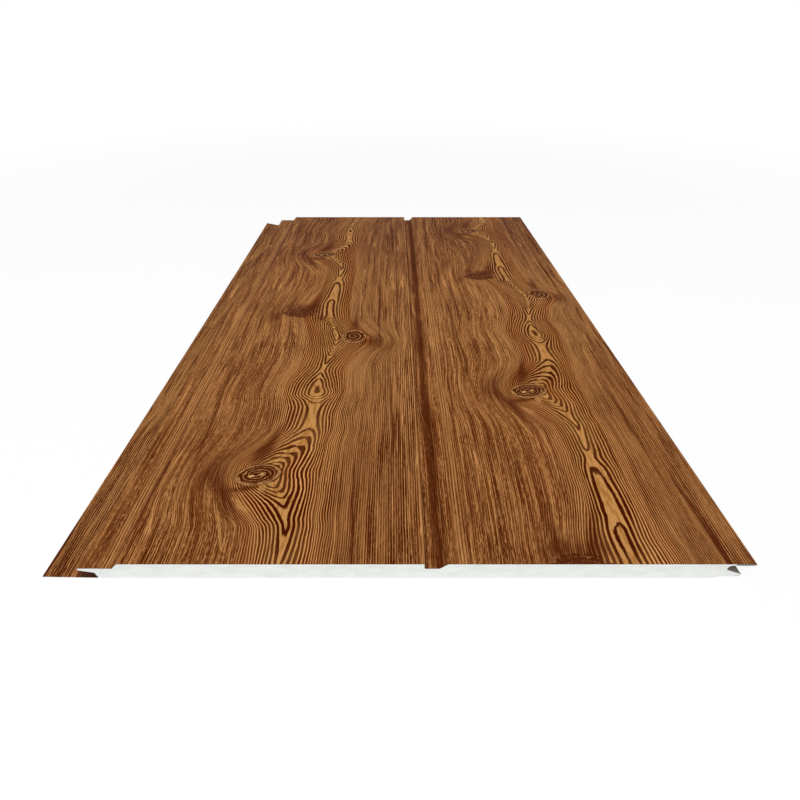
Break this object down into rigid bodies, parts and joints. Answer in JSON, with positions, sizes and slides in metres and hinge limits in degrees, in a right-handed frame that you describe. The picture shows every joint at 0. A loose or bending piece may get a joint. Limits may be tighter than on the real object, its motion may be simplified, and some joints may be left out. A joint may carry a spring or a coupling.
{
  "type": "insulated wall panel",
  "caption": "Metal-faced foam siding panel with a wood-grain print, a dividing groove between planks, and tongue-and-groove edges with a nailing flange.",
  "frame": {"origin": "middle of the panel's outline on the plane of its back, Z = 0", "axes": "+Y along the length of the planks, +X across from the nailing flange to the lip, +Z out of the printed face"},
  "size_m": [0.4192, 0.6, 0.016],
  "materials": {
    "printed_steel": "satin wood-grain print over a lightly embossed steel sheet",
    "rigid_foam": "cut rigid foam, fine closed cells",
    "foil": "thin foil, slightly crinkled"
  },
  "bodies": {
    "root": {"face_sheet": "printed_steel", "foam_core": "rigid_foam", "backing_foil": "foil"}
  },
  "joints": []
}
